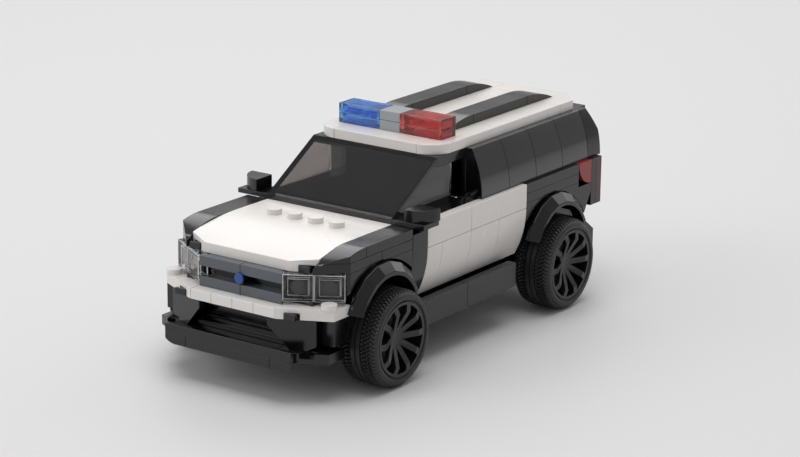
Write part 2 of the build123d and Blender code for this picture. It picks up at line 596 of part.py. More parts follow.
with BuildPart() as emblem_dot:
    with BuildSketch(Plane((0, GRILLE_Y, at_z(GRILLE_N + 1.5) + DOT_RISE), z_dir=(0, -1, 0))) as dot:
        Circle(DOT_R)
    extrude(dot.sketch, amount=DOT_T)
save(emblem_dot.part, "emblem_dot")


with BuildPart() as headlights:
    with BuildSketch(lamp_plane):
        for k in (0, 1):
            with Locations((k * LAMP_W + SEAM / 2, 0)):
                Rectangle(LAMP_W - SEAM, LAMP_T, align=(Align.MIN, Align.MIN))
    extrude(amount=LAMP_H)
    mirror(about=Plane.YZ)
save(headlights.part, "headlights")

with BuildPart() as headlight_mounts:
    block((at_x(EDGE) + SEAM, CABIN), (at_y(1), at_y(2) - SEAM), (at_z(GRILLE_N), LAMP_Z))
    with BuildSketch(lamp_plane.offset(at_z(GRILLE_N) - LAMP_Z)):
        with Locations((2 * PLATE, LAMP_T)):
            Rectangle(2 * LAMP_W - 2 * PLATE - 1, LAMP_BRACKET, align=(Align.MIN, Align.MIN))
    extrude(amount=LAMP_Z + LAMP_H - at_z(GRILLE_N))
    mirror(about=Plane.YZ)
save(headlight_mounts.part, "headlight_mounts")

# ---- bumper and intake -----------------------------------------------------
with BuildPart() as bumper_tiles:
    for left in range(-EDGE, EDGE):
        block((at_x(left) + SEAM / 2, at_x(left + 1) - SEAM / 2), (at_y(0), at_y(1)),
              (at_z(BUMPER_N), at_z(BUMPER_N + 1)))
save(bumper_tiles.part, "bumper_tiles")

WEDGE_STUD = (3.7, 1.1)                    # column and row of the bare stud
with BuildPart() as bumper_wedges:
    profile(Plane.XY.offset(at_z(BUMPER_N)),
            [(at_x(EDGE) + SEAM / 2, at_y(0)), (SIDE, at_y(1)), (SIDE, at_y(2)),
             (at_x(EDGE) + SEAM / 2, at_y(2))], PLATE)
    block((at_x(EDGE) + NOTCH[0], at_x(EDGE) + NOTCH[1]), (at_y(0), at_y(1) - 1),
          (at_z(BUMPER_N), at_z(BUMPER_N) + NOTCH[2]), mode=Mode.SUBTRACT)
    studs((WEDGE_STUD[0],), (WEDGE_STUD[1],), at_z(BUMPER_N + 1))
    mirror(about=Plane.YZ)
save(bumper_wedges.part, "bumper_wedges")

# a block one stud high hangs under each end of the bumper
with BuildPart() as bumper_corners:
    block((CABIN, SIDE), (at_y(1) + SEAM, at_y(2) - 1), (at_z(BUMPER_N) - PITCH, at_z(BUMPER_N)))
    mirror(about=Plane.YZ)
save(bumper_corners.part, "bumper_corners")

BAR_Z = BASE_Z - 2.0                       # underside of the low front bar
BAR_DEEP = 1.6
BAR_FRONT = FRONT_Y - BAR_LEAD
BAR_BACK = BAR_FRONT + BAR_DEEP
BAR_RISE = 1.5                             # the bar's underside curves up this much at its ends
LEDGE, LEDGE_HALF = 3.0, 1.5               # ledge under the bumper: setback, half width in studs

with BuildPart() as front_core:
    block((-CABIN, CABIN), (at_y(1), at_y(2)), (at_z(1), at_z(BUMPER_N)))
    block((-at_x(EDGE), at_x(EDGE)), (at_y(1), at_y(2.5)), (at_z(BUMPER_N), at_z(GRILLE_N)))
    block((-at_x(LEDGE_HALF), at_x(LEDGE_HALF)), (at_y(0) + LEDGE, at_y(1)),
          (at_z(BUMPER_N) - BRACKET_T, at_z(BUMPER_N)))
save(front_core.part, "front_core")

CHIN_TIP = 5.4                             # the chin's outer corner, behind the bumper's edge
CHIN_NOTCH = (24.0, 28.0, 1.7)             # from and to across the wedge, and depth

with BuildPart() as chin_plates:
    block((-at_x(EDGE) + SEAM, at_x(EDGE) - SEAM), (BAR_BACK, at_y(2)), (at_z(0), at_z(1)))
    tip = FRONT_Y + CHIN_TIP
    lead = BAR_BACK + SEAM
    profile(Plane.XY.offset(at_z(0)),
            [(at_x(EDGE), lead), (SIDE - (tip - lead) / HOOD_TAPER, lead), (SIDE, tip),
             (SIDE, tip + PITCH), (CABIN, tip + PITCH), (CABIN, at_y(2)), (at_x(EDGE), at_y(2))],
            PLATE)
    block(CHIN_NOTCH[:2], (BAR_BACK, tip), (at_z(1) - CHIN_NOTCH[2], at_z(1)),
          mode=Mode.SUBTRACT)
    mirror(about=Plane.YZ)
save(chin_plates.part, "chin_plates")

with BuildPart() as front_bar:
    block((-CABIN, CABIN), (BAR_FRONT, BAR_BACK), (BAR_Z + PLATE, BAR_Z + 2 * PLATE))
save(front_bar.part, "front_bar")

with BuildPart() as front_bar_tiles:
    block((-at_x(EDGE), at_x(EDGE)), (BAR_FRONT, BAR_BACK), (BAR_Z, BAR_Z + PLATE))
    with BuildSketch(Plane.XZ.offset(-BAR_BACK)) as outline:
        inner = at_x(EDGE) + SEAM
        with BuildLine():
            Line((inner, BAR_Z + PLATE), (inner, BAR_Z))
            Line((inner, BAR_Z), (CABIN - PITCH / 2, BAR_Z))
            TangentArc((CABIN - PITCH / 2, BAR_Z), (CABIN, BAR_Z + BAR_RISE), tangent=(1, 0))
            Line((CABIN, BAR_Z + BAR_RISE), (CABIN, BAR_Z + PLATE))
            Line((CABIN, BAR_Z + PLATE), (inner, BAR_Z + PLATE))
        make_face()
    extrude(outline.sketch, amount=BAR_DEEP)
    mirror(about=Plane.YZ)
save(front_bar_tiles.part, "front_bar_tiles")

# steps behind the intake: behind the bumper's edge, and height above the chin
INTAKE_STEPS = ((5.2, BRACKET_T), (7.3, PLATE))
with BuildPart() as intake_bars:
    for lead, rise in INTAKE_STEPS:
        block((-at_x(2.2), at_x(2.2)), (at_y(0) + lead, at_y(1)), (at_z(1), at_z(1) + rise))
save(intake_bars.part, "intake_bars")

PANEL_X, PANEL_Y, PANEL_T = 12.9, 0.3, 1.9
PANEL_SWEEP = 19.0
panel_plane = Plane((PANEL_X, FRONT_Y + PANEL_Y, at_z(1)),
                    x_dir=Vector(1, 0, 0).rotate(Axis.Z, PANEL_SWEEP),
                    z_dir=Vector(0, -1, 0).rotate(Axis.Z, PANEL_SWEEP))
with BuildPart() as intake_panels:
    with BuildSketch(panel_plane):
        with BuildLine():
            Polyline((0, 3 * PLATE), (0, 7.0), (7.0, 0), (12.4, 0), (15.4, 1.5),
                     (15.4, 3 * PLATE), close=True)
        make_face()
    extrude(amount=-PANEL_T)
    mirror(about=Plane.YZ)
save(intake_panels.part, "intake_panels")

# ---- mirrors ---------------------------------------------------------------
MIRROR_Z = at_z(BELT_N)
MIRROR_OUT = 36.5
with BuildPart() as mirror_arms:
    block((CABIN, MIRROR_OUT - 0.5), (at_y(6), at_y(7)),
          (MIRROR_Z, MIRROR_Z + BRACKET_T))
    mirror(about=Plane.YZ)
save(mirror_arms.part, "mirror_arms")

with BuildPart() as mirrors:
    with BuildSketch(Plane.XY.offset(MIRROR_Z + BRACKET_T)) as quarter:
        with Locations((MIRROR_OUT - PITCH, at_y(7))):
            Circle(PITCH)
            Rectangle(4 * PITCH, 2 * PITCH, align=(Align.CENTER, Align.MIN), mode=Mode.SUBTRACT)
            Rectangle(2 * PITCH, 4 * PITCH, align=(Align.MAX, Align.CENTER), mode=Mode.SUBTRACT)
    extrude(amount=1.2 * PLATE)
    mirror(about=Plane.YZ)
save(mirrors.part, "mirrors")

# ---- tail ------------------------------------------------------------------
COLUMN_LOW = 5
with BuildPart() as tail_lamps:
    with BuildSketch(Plane.YZ.offset(SIDE - TILE_T)) as quarter:
        with Locations((at_y(QUARTER_REAR), at_z(BELT_N))):
            Circle(PITCH - SEAM)
            Rectangle(4 * PITCH, 2 * PITCH, align=(Align.CENTER, Align.MIN), mode=Mode.SUBTRACT)
            Rectangle(2 * PITCH, 4 * PITCH, align=(Align.MIN, Align.CENTER), mode=Mode.SUBTRACT)
    extrude(amount=TILE_T)
    mirror(about=Plane.YZ)
save(tail_lamps.part, "tail_lamps")

with BuildPart() as tail_columns:
    block((CABIN, SIDE), (at_y(QUARTER_REAR), at_y(QUARTER_REAR) + PLATE),
          (at_z(COLUMN_LOW), at_z(BELT_N)))
    mirror(about=Plane.YZ)
save(tail_columns.part, "tail_columns")

with BuildPart() as tail_lights:
    block((CABIN, SIDE),
          (at_y(QUARTER_REAR) + PLATE, at_y(QUARTER_REAR) + 2 * PLATE),
          (at_z(COLUMN_LOW), at_z(BELT_N)))
    mirror(about=Plane.YZ)
save(tail_lights.part, "tail_lights")

with BuildPart() as hatch:
    block((-CABIN, CABIN), (at_y(QUARTER_REAR), at_y(QUARTER_REAR) + 2 * PLATE),
          (at_z(3), at_z(BELT_N)))
save(hatch.part, "hatch")

with BuildPart() as hatch_glass:
    profile(Plane.YZ.offset(-CABIN + SEAM),
            [(at_y(QUARTER_REAR) + PLATE, at_z(BELT_N)), (at_y(ROOF_REAR) - SEAM, at_z(BELT_N)),
             (at_y(ROOF_REAR) - SEAM, at_z(12)), (at_y(ROOF_REAR) - REAR_CHAMFER, at_z(ROOF_N - 1)),
             (at_y(QUARTER_REAR) + PLATE, at_z(ROOF_N - 1))], 2 * (CABIN - SEAM))
save(hatch_glass.part, "hatch_glass")

with BuildPart() as rear_bumper:
    lip = at_y(19) + 2.4
    profile(Plane.YZ.offset(-SIDE),
            [(at_y(18), at_z(0)), (lip, at_z(0)), (lip, at_z(2.35)),
             (at_y(QUARTER_FOOT[0]), at_z(4)), (at_y(18), at_z(4))], 2 * SIDE)
    block((-CABIN, CABIN), (at_y(18), at_y(19)), (at_z(3), at_z(4)), mode=Mode.SUBTRACT)
save(rear_bumper.part, "rear_bumper")
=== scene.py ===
"""Looks of a toy brick-built police SUV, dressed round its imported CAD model.

Metres; the front faces -Y. Names in capitals are in millimetres unless they say otherwise.
"""
import json
import math
from itertools import product

import bmesh
import bpy
from mathutils import Matrix, Vector


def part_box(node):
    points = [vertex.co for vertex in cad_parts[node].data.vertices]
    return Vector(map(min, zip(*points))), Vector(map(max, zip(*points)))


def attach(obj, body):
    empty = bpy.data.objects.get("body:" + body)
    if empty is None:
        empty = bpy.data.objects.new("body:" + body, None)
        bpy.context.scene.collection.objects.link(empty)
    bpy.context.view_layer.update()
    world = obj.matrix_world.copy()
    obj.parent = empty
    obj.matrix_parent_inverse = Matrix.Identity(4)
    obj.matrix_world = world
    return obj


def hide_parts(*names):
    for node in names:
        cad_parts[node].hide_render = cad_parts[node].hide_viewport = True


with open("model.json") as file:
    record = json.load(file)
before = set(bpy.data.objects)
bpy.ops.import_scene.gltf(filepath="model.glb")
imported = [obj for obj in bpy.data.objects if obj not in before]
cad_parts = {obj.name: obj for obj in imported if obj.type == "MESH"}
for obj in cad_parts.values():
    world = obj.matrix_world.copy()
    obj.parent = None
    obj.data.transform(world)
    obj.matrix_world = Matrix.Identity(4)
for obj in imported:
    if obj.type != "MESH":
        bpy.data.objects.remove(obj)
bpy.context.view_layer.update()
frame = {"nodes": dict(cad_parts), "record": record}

MM = 0.001
CORNERS = ("front_left", "front_right", "rear_left", "rear_right")

# ---- parts of materials --------------------------------------------------------------
A_COLOUR, B_COLOUR, RESULT_COLOUR = 6, 7, 2     # the colour sockets of a mix node
NOISE_LOW, NOISE_HIGH = 0.3, 0.7                # a noise texture rarely leaves this range
BUMP_DEPTH = 0.02 * MM                          # height of a bump at full strength, in metres
WEAR_AND_HIGHLIGHT_REACH = 0.25 * MM                          # how far edge wear and painted edge highlights reach from an edge, in metres
WEAR_AND_HIGHLIGHT_GAIN = 2.2                                 # what the strongest noise multiplies edge wear and painted highlights by
SCUFF_ROUGH = 0.05                              # the most roughness that scuffs add
PEEL_STRENGTH, GRAIN_STRENGTH = 0.05, 0.12      # bumps on moulded plastic and on rubber
PLASTIC_IOR, COAT_ROUGH = 1.53, 0.08
FLOW_STOPS = (0.32, 0.68)                       # noise at which a plastic is darkest and lightest
TINT_SPREAD = 0.04                              # drift of a clear plastic's tint
RUBBER_DARK, RUBBER_DUSTY = (0.012, 0.012, 0.012), (0.026, 0.025, 0.025)
RUBBER_ROUGH = (0.38, 0.56)

# noise textures: scale per metre, detail, and for some roughness and stretch
WEAR_AND_HIGHLIGHT_BREAKS = (900, 4)
FLOW_MARKS = (45, 4, 0.55)
GLOSS_PATCHES = (70, 5, 0.6)
SCUFFS = (260, 6, 0.7, (1, 6, 1))
ORANGE_PEEL = (380, 2)
TINT_DRIFT = (60, 3)
CLEAR_GLOSS = (150, 4)
CLEAR_RIPPLE = (120, 1)
DUST = (90, 6, 0.6)
RUBBER_GLOSS = (220, 5, 0.6)
RUBBER_GRAIN = (3000, 3)


def new_material(name):
    """An empty principled material; returns it, its tree and its shader."""
    material = bpy.data.materials.new(name)
    material.use_nodes = True
    tree = material.node_tree
    tree.nodes.clear()
    output = tree.nodes.new("ShaderNodeOutputMaterial")
    shader = tree.nodes.new("ShaderNodeBsdfPrincipled")
    tree.links.new(shader.outputs["BSDF"], output.inputs["Surface"])
    return material, tree, shader


def noise(tree, scale, detail, rough=0.5, stretch=(1, 1, 1)):
    """Noise in the object's own metres."""
    coords = tree.nodes.new("ShaderNodeTexCoord")
    mapping = tree.nodes.new("ShaderNodeMapping")
    mapping.inputs["Scale"].default_value = stretch
    texture = tree.nodes.new("ShaderNodeTexNoise")
    texture.inputs["Scale"].default_value = scale
    texture.inputs["Detail"].default_value = detail
    texture.inputs["Roughness"].default_value = rough
    tree.links.new(coords.outputs["Object"], mapping.inputs["Vector"])
    tree.links.new(mapping.outputs["Vector"], texture.inputs["Vector"])
    return texture.outputs["Fac"]


def ramp(tree, value, *stops):
    """A value turned into colour by two stops, each a position and a colour."""
    node = tree.nodes.new("ShaderNodeValToRGB")
    for element, (at, colour) in zip(node.color_ramp.elements, stops):
        element.position = at
        element.color = (*colour, 1)
    tree.links.new(value, node.inputs["Fac"])
    return node.outputs["Color"]


def mottle(tree, value, base, spread, stops=(NOISE_LOW, NOISE_HIGH)):
    """A base colour that drifts darker and lighter by its spread, with noise between two stops."""
    darker = [c * (1 - spread) for c in base]
    lighter = [min(1, c * (1 + spread)) for c in base]
    return ramp(tree, value, (stops[0], darker), (stops[1], lighter))


def mix_colours(tree, amount, first, second):
    """The first colour socket, turned into the second, a plain colour, by an amount."""
    node = tree.nodes.new("ShaderNodeMix")
    node.data_type = "RGBA"
    tree.links.new(amount, node.inputs[0])
    tree.links.new(first, node.inputs[A_COLOUR])
    node.inputs[B_COLOUR].default_value = (*second, 1)
    return node.outputs[RESULT_COLOUR]


def remap(tree, value, low, high, start=NOISE_LOW, end=NOISE_HIGH):
    """A value that goes from low to high while the input goes from start to end."""
    node = tree.nodes.new("ShaderNodeMapRange")
    node.inputs["From Min"].default_value = start
    node.inputs["From Max"].default_value = end
    node.inputs["To Min"].default_value = low
    node.inputs["To Max"].default_value = high
    tree.links.new(value, node.inputs["Value"])
    return node.outputs["Result"]


def math_node(tree, operation, *values):
    """One sum on sockets and plain numbers."""
    node = tree.nodes.new("ShaderNodeMath")
    node.operation = operation
    for socket, value in zip(node.inputs, values):
        if isinstance(value, (int, float)):
            socket.default_value = value
        else:
            tree.links.new(value, socket)
    return node.outputs["Value"]


def edge_mask(tree):
    """High where the surface turns an edge, broken up by noise."""
    bevel = tree.nodes.new("ShaderNodeBevel")
    bevel.samples = 4
    bevel.inputs["Radius"].default_value = WEAR_AND_HIGHLIGHT_REACH
    geometry = tree.nodes.new("ShaderNodeNewGeometry")
    dot = tree.nodes.new("ShaderNodeVectorMath")
    dot.operation = "DOT_PRODUCT"
    tree.links.new(bevel.outputs["Normal"], dot.inputs[0])
    tree.links.new(geometry.outputs["Normal"], dot.inputs[1])
    turn = math_node(tree, "SUBTRACT", 1.0, dot.outputs["Value"])
    breaks = remap(tree, noise(tree, *WEAR_AND_HIGHLIGHT_BREAKS), 0.0, WEAR_AND_HIGHLIGHT_GAIN)
    return math_node(tree, "MINIMUM", math_node(tree, "MULTIPLY", turn, breaks), 1.0)


def bump(tree, shader, height, strength):
    """Relief in the shader's normal from a height socket."""
    node = tree.nodes.new("ShaderNodeBump")
    node.inputs["Strength"].default_value = strength
    node.inputs["Distance"].default_value = BUMP_DEPTH
    tree.links.new(height, node.inputs["Height"])
    tree.links.new(node.outputs["Normal"], shader.inputs["Normal"])


def plastic(name, base, spread, rough, edge_wear_and_highlight=None, edge_wear_and_highlight_amount=0.0, coat=0.0):
    """Moulded plastic: faint flow marks in colour, uneven gloss, fine scuffs, and edges in an edge
    colour: darker wear on white, a lighter painted highlight on black and dark grey.
    """
    material, tree, shader = new_material(name)
    colour = mottle(tree, noise(tree, *FLOW_MARKS), base, spread, FLOW_STOPS)
    # edges take the edge colour: darker wear on white, a lighter painted highlight on black and
    # dark grey
    if edge_wear_and_highlight:
        worn_and_highlit = math_node(tree, "MULTIPLY", edge_mask(tree), edge_wear_and_highlight_amount)
        colour = mix_colours(tree, worn_and_highlit, colour, edge_wear_and_highlight)
    tree.links.new(colour, shader.inputs["Base Color"])
    smooth = remap(tree, noise(tree, *GLOSS_PATCHES), *rough)
    scuff = remap(tree, noise(tree, *SCUFFS), 0.0, SCUFF_ROUGH)
    tree.links.new(math_node(tree, "ADD", smooth, scuff), shader.inputs["Roughness"])
    bump(tree, shader, noise(tree, *ORANGE_PEEL), PEEL_STRENGTH)
    shader.inputs["IOR"].default_value = PLASTIC_IOR
    if coat:
        shader.inputs["Coat Weight"].default_value = coat
        shader.inputs["Coat Roughness"].default_value = COAT_ROUGH
    return material


def clear_plastic(name, tint, rough=(0.015, 0.05), ior=1.5, ripple=0.02, clarity=1.0, foot=None):
    """Transparent moulded plastic: uneven gloss and tint, faint ripple, and painted shade below
    its foot.

    The foot is a height in metres.
    """
    material, tree, shader = new_material(name)
    colour = mottle(tree, noise(tree, *TINT_DRIFT), tint, TINT_SPREAD)
    if foot is not None:
        coords = tree.nodes.new("ShaderNodeTexCoord")
        split = tree.nodes.new("ShaderNodeSeparateXYZ")
        tree.links.new(coords.outputs["Object"], split.inputs["Vector"])
        # painted shade: below the foot the tint turns dark, as the pane's lip sits in shade
        shaded_below = remap(tree, split.outputs["Z"], 0.0, 1.0, foot, foot - FOOT_SHADE_FADE)
        colour = mix_colours(tree, shaded_below, colour, FOOT_PAINTED_SHADE)
    tree.links.new(colour, shader.inputs["Base Color"])
    tree.links.new(remap(tree, noise(tree, *CLEAR_GLOSS), *rough), shader.inputs["Roughness"])
    if ripple:
        bump(tree, shader, noise(tree, *CLEAR_RIPPLE), ripple)
    shader.inputs["Transmission Weight"].default_value = clarity
    shader.inputs["IOR"].default_value = ior
    return material


def rubber(name):
    """Soft tyre rubber: dusty mottling and a fine grain."""
    material, tree, shader = new_material(name)
    colour = ramp(tree, noise(tree, *DUST), (NOISE_LOW, RUBBER_DARK), (NOISE_HIGH, RUBBER_DUSTY))
    tree.links.new(colour, shader.inputs["Base Color"])
    tree.links.new(remap(tree, noise(tree, *RUBBER_GLOSS), *RUBBER_ROUGH),
                   shader.inputs["Roughness"])
    bump(tree, shader, noise(tree, *RUBBER_GRAIN), GRAIN_STRENGTH)
    return material


# ---- the materials -------------------------------------------------------------------
BLACK = (0.0045, 0.0045, 0.0048)
# lighter edges on black parts: a painted highlight for the light along their rounded edges, with
# some wear
BLACK_EDGE_WEAR_AND_HIGHLIGHT = (0.10, 0.10, 0.10)
FOOT_PAINTED_SHADE = (0.03, 0.03, 0.03)
FOOT_SHADE_FADE = 0.8 * MM                           # in metres
WINDSHIELD_LIP = 2.7                           # height of the pane's lip, which gets painted shade
WINDSHIELD_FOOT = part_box("windshield")[0].z + WINDSHIELD_LIP * MM

MATERIALS = {
    "black_plastic": plastic("black_abs", BLACK, 0.25, (0.12, 0.22), BLACK_EDGE_WEAR_AND_HIGHLIGHT, 0.65),
    "white_plastic": plastic("white_abs", (0.80, 0.765, 0.735), 0.015, (0.16, 0.26),
                             (0.62, 0.59, 0.56), 0.35),
    "dark_grey_plastic": plastic("dark_grey_abs", (0.085, 0.10, 0.115), 0.08, (0.16, 0.26),
                                 (0.2, 0.21, 0.22), 0.4),
    "light_grey_plastic": plastic("light_grey_abs", (0.33, 0.35, 0.37), 0.05, (0.16, 0.26)),
    "blue_plastic": plastic("blue_abs", (0.012, 0.07, 0.30), 0.08, (0.14, 0.22)),
    "wheel_plastic": plastic("wheel_abs", (0.009, 0.009, 0.0095), 0.2, (0.26, 0.38),
                             BLACK_EDGE_WEAR_AND_HIGHLIGHT, 0.4),
    "clear_blue": clear_plastic("clear_blue", (0.16, 0.45, 0.94), clarity=0.95),
    "clear_red": clear_plastic("clear_red", (0.82, 0.10, 0.09), clarity=0.95),
    "dark_red": clear_plastic("deep_red", (0.38, 0.022, 0.02), clarity=0.3),
    "clear": clear_plastic("clear", (0.97, 0.98, 0.98), (0.0, 0.02), ior=1.3),
    "smoke_glass": clear_plastic("smoke", (0.47, 0.445, 0.43), (0.0, 0.012), ripple=0.0,
                                 foot=WINDSHIELD_FOOT),
    "tyre_rubber": rubber("tyre_rubber"),
}
CLEAR_SLOTS = ("clear", "clear_blue", "clear_red", "dark_red", "smoke_glass")
SLOT_OF = {row["node"]: row["material_slot"] for row in frame["record"]["subparts"]}

# nodes that look unlike the rest of their slot, and the paler rims of the headlights' blocks, a
# painted highlight
NODE_MATERIALS = {
    "window_slopes": plastic("gloss_black", BLACK, 0.25, (0.12, 0.2), BLACK_EDGE_WEAR_AND_HIGHLIGHT, 0.65, coat=0.6),
    "tail_lights": clear_plastic("column_red", (0.09, 0.02, 0.018), clarity=0.3),
}
# painted highlight: the bevelled rims of the clear blocks are paler and less clear, standing for
# the light along their edges
LENS_HIGHLIGHT_RIM = clear_plastic("lens_highlight_rim", (0.80, 0.81, 0.82), (0.15, 0.3), clarity=0.35)

# ---- rounded edges and clean shading -------------------------------------------------
WELD = 0.002
EDGE, CLEAR_EDGE, EDGE_STEPS = 0.16, 0.08, 2   # widths of a rounded edge, and its strips
FLAT_ANGLE = math.radians(0.1)                 # faces nearer in angle than this become one
SHARP_ANGLE, FACET_ANGLE = math.radians(30), math.radians(8)   # edges above these are rounded


def finish(obj, slot, faceted=False):
    """Clean faces, rounded edges and smooth shading for a moulded piece."""
    weld = obj.modifiers.new("weld", "WELD")
    weld.merge_threshold = WELD * MM
    flat = obj.modifiers.new("flat", "DECIMATE")
    flat.decimate_type = "DISSOLVE"
    flat.angle_limit = FLAT_ANGLE
    if slot != "smoke_glass":
        edges = obj.modifiers.new("edges", "BEVEL")
        edges.width = (CLEAR_EDGE if slot in CLEAR_SLOTS else EDGE) * MM
        edges.segments = EDGE_STEPS
        edges.limit_method = "ANGLE"
        edges.angle_limit = FACET_ANGLE if faceted else SHARP_ANGLE
        edges.use_clamp_overlap = True
    if slot not in CLEAR_SLOTS:
        for polygon in obj.data.polygons:
            polygon.use_smooth = True
        smooth = obj.modifiers.new("normals", "WEIGHTED_NORMAL")
        smooth.keep_sharp = True
        smooth.weight = 100                    # large faces set the shading of small ones


for cad_node, cad_object in frame["nodes"].items():
    cad_slot = SLOT_OF[cad_node]
    cad_object.data.materials.clear()
    cad_object.data.materials.append(NODE_MATERIALS.get(cad_node, MATERIALS[cad_slot]))
    finish(cad_object, cad_slot)


# ---- how pieces are made -------------------------------------------------------------
PEG_SIDES = 28


def piece_of(name, bm, slot, body):
    """An object on a body, from a bmesh, which is used up."""
    bmesh.ops.recalc_face_normals(bm, faces=bm.faces)
    mesh = bpy.data.meshes.new(name)
    bm.to_mesh(mesh)
    bm.free()
    obj = bpy.data.objects.new(name, mesh)
    bpy.context.scene.collection.objects.link(obj)
    obj.data.materials.append(MATERIALS[slot])
    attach(obj, body)
    return obj


def body_piece(name, bm, slot, faceted=False):
    """A moulded piece of the body."""
    obj = piece_of(name, bm, slot, "root")
    finish(obj, slot, faceted)
    return obj


def side_of(value):
    """1 on the positive side, -1 on the other."""
    return 1 if value > 0 else -1


def frame_at(origin, along=Vector((1, 0, 0)), up=Vector((0, 0, 1)), deep=Vector((0, 1, 0))):
    """Turns millimetres along, up and deep from an origin in metres into a place."""
    return lambda u, v, w: origin + (along * u + up * v + deep * w) * MM


def add_block(bm, place, low, high):
    """A plain block between two corners, as part of a piece."""
    spots = [bm.verts.new(place(*spot)) for spot in product(*zip(low, high))]
    for quad in ((0, 1, 3, 2), (4, 6, 7, 5), (0, 4, 5, 1),
                 (2, 3, 7, 6), (0, 2, 6, 4), (1, 5, 7, 3)):
        bm.faces.new([spots[i] for i in quad])


def add_hollow(bm, place, size, wall, skin):
    """A block open at the far end of its third direction, with this wall and front skin."""
    width, height, depth = size

    def loop(inset, w):
        return [bm.verts.new(place(u, v, w)) for u, v in
                ((inset, inset), (width - inset, inset),
                 (width - inset, height - inset), (inset, height - inset))]

    front, rim, mouth, floor_loop = loop(0, 0), loop(0, depth), loop(wall, depth), loop(wall, skin)
    bm.faces.new(front)
    bm.faces.new(floor_loop)
    for near, far in ((front, rim), (rim, mouth), (mouth, floor_loop)):
        for i in range(4):
            bm.faces.new((near[i], near[i - 1], far[i - 1], far[i]))


def add_peg(bm, place, centre, radius, low, high):
    """A round stud that stands along the third direction."""
    loops = [[bm.verts.new(place(centre[0] + radius * math.cos(math.tau * k / PEG_SIDES),
                                 centre[1] + radius * math.sin(math.tau * k / PEG_SIDES), w))
              for k in range(PEG_SIDES)] for w in (low, high)]
    for ends in loops:
        bm.faces.new(ends)
    for i in range(PEG_SIDES):
        bm.faces.new((loops[0][i], loops[0][i - 1], loops[1][i - 1], loops[1][i]))


# ---- tyres: slanted lugs on both shoulders, smooth ribs between ----------------------
TYRE_STEPS = 432               # cuts round a tyre
LUGS = 72
SLOT_SHARE = 0.42              # share of a lug's pitch that the slot beside it takes
SLOT_DEEP = 1.15
LUG_SLANT = 0.045              # radians round the tyre per millimetre across it
LUG_ZONE = (0.85, 4.85)        # from and to, from either side of the tyre
TYRE_SHARP = math.radians(28)
# depth below the tread and distance from the tyre's side: bead, sidewall, shoulder, ribs
SIDEWALL = ((3.6, 1.5), (3.5, 0.75), (3.1, 0.55), (2.95, 0.12), (2.5, 0.0), (1.9, 0.05),
            (1.3, 0.35), (0.85, 0.86), (0.4, 1.2), (0.14, 1.8), (0.04, 2.8), (0.0, 3.9),
            (0.0, 4.8), (0.95, 4.86), (0.95, 5.3), (0.02, 5.36), (0.0, 6.0), (0.0, 6.78),
            (0.55, 6.82))


def in_slot(turn, edge, inner):
    """Whether a spot this far round and from the tyre's side lies in a slot between lugs."""
    if not LUG_ZONE[0] <= edge <= LUG_ZONE[1]:
        return False
    lean = (edge - LUG_ZONE[1]) * LUG_SLANT / math.tau
    half_pitch = 0.5 if inner else 0           # the two shoulders are staggered
    return ((turn + lean) * LUGS + half_pitch) % 1 < SLOT_SHARE


def tyre_bmesh(low, high):
    """A tyre inside a box in metres."""
    centre = (low + high) / 2
    side = side_of(centre.x)
    radius = (high.z - low.z) / 2 / MM
    width = (high.x - low.x) / MM
    face = max(abs(low.x), abs(high.x))
    profile = list(SIDEWALL) + [(down, width - across) for down, across in SIDEWALL[::-1]]
    bm = bmesh.new()
    rings = []
    for k in range(TYRE_STEPS):
        turn = k / TYRE_STEPS
        angle = turn * math.tau
        ring = []
        for down, across in profile:
            inner = across > width / 2
            if in_slot(turn, width - across if inner else across, inner):
                down = max(down, SLOT_DEEP)
            r = (radius - down) * MM
            ring.append(bm.verts.new((side * (face - across * MM), centre.y + r * math.cos(angle),
                                      centre.z + r * math.sin(angle))))
        rings.append(ring)
    for near, far in zip(rings, rings[1:] + rings[:1]):
        for i in range(len(near)):
            j = (i + 1) % len(near)
            bm.faces.new((near[i], near[j], far[j], far[i]))
    return bm


for corner in CORNERS:
    tyre = piece_of(corner + "_tread", tyre_bmesh(*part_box(corner + "_tyre")), "tyre_rubber",
                    corner + "_wheel")
    for polygon in tyre.data.polygons:
        polygon.use_smooth = True
    tyre.data.set_sharp_from_angle(angle=TYRE_SHARP)
    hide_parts(corner + "_tyre")

# ---- headlights: two clear hollow blocks a side, over round studs --------------------
LAMP_CORNER = (15.9, 3.8)      # inner front corner: across, behind the bumper's front
LAMP_SWEEP = math.radians(31)
LAMP_PITCH, LAMP_GAP, LAMP_DEEP = 9.4, 0.1, 3.2
LAMP_WALL, LAMP_SKIN = 1.5, 1.1
LAMP_STUD = 2.35
LAMP_STUD_CLEAR, LAMP_STUD_FOOT = 0.3, 0.05    # room before a stud and behind it
LENS_BEVEL = 0.2


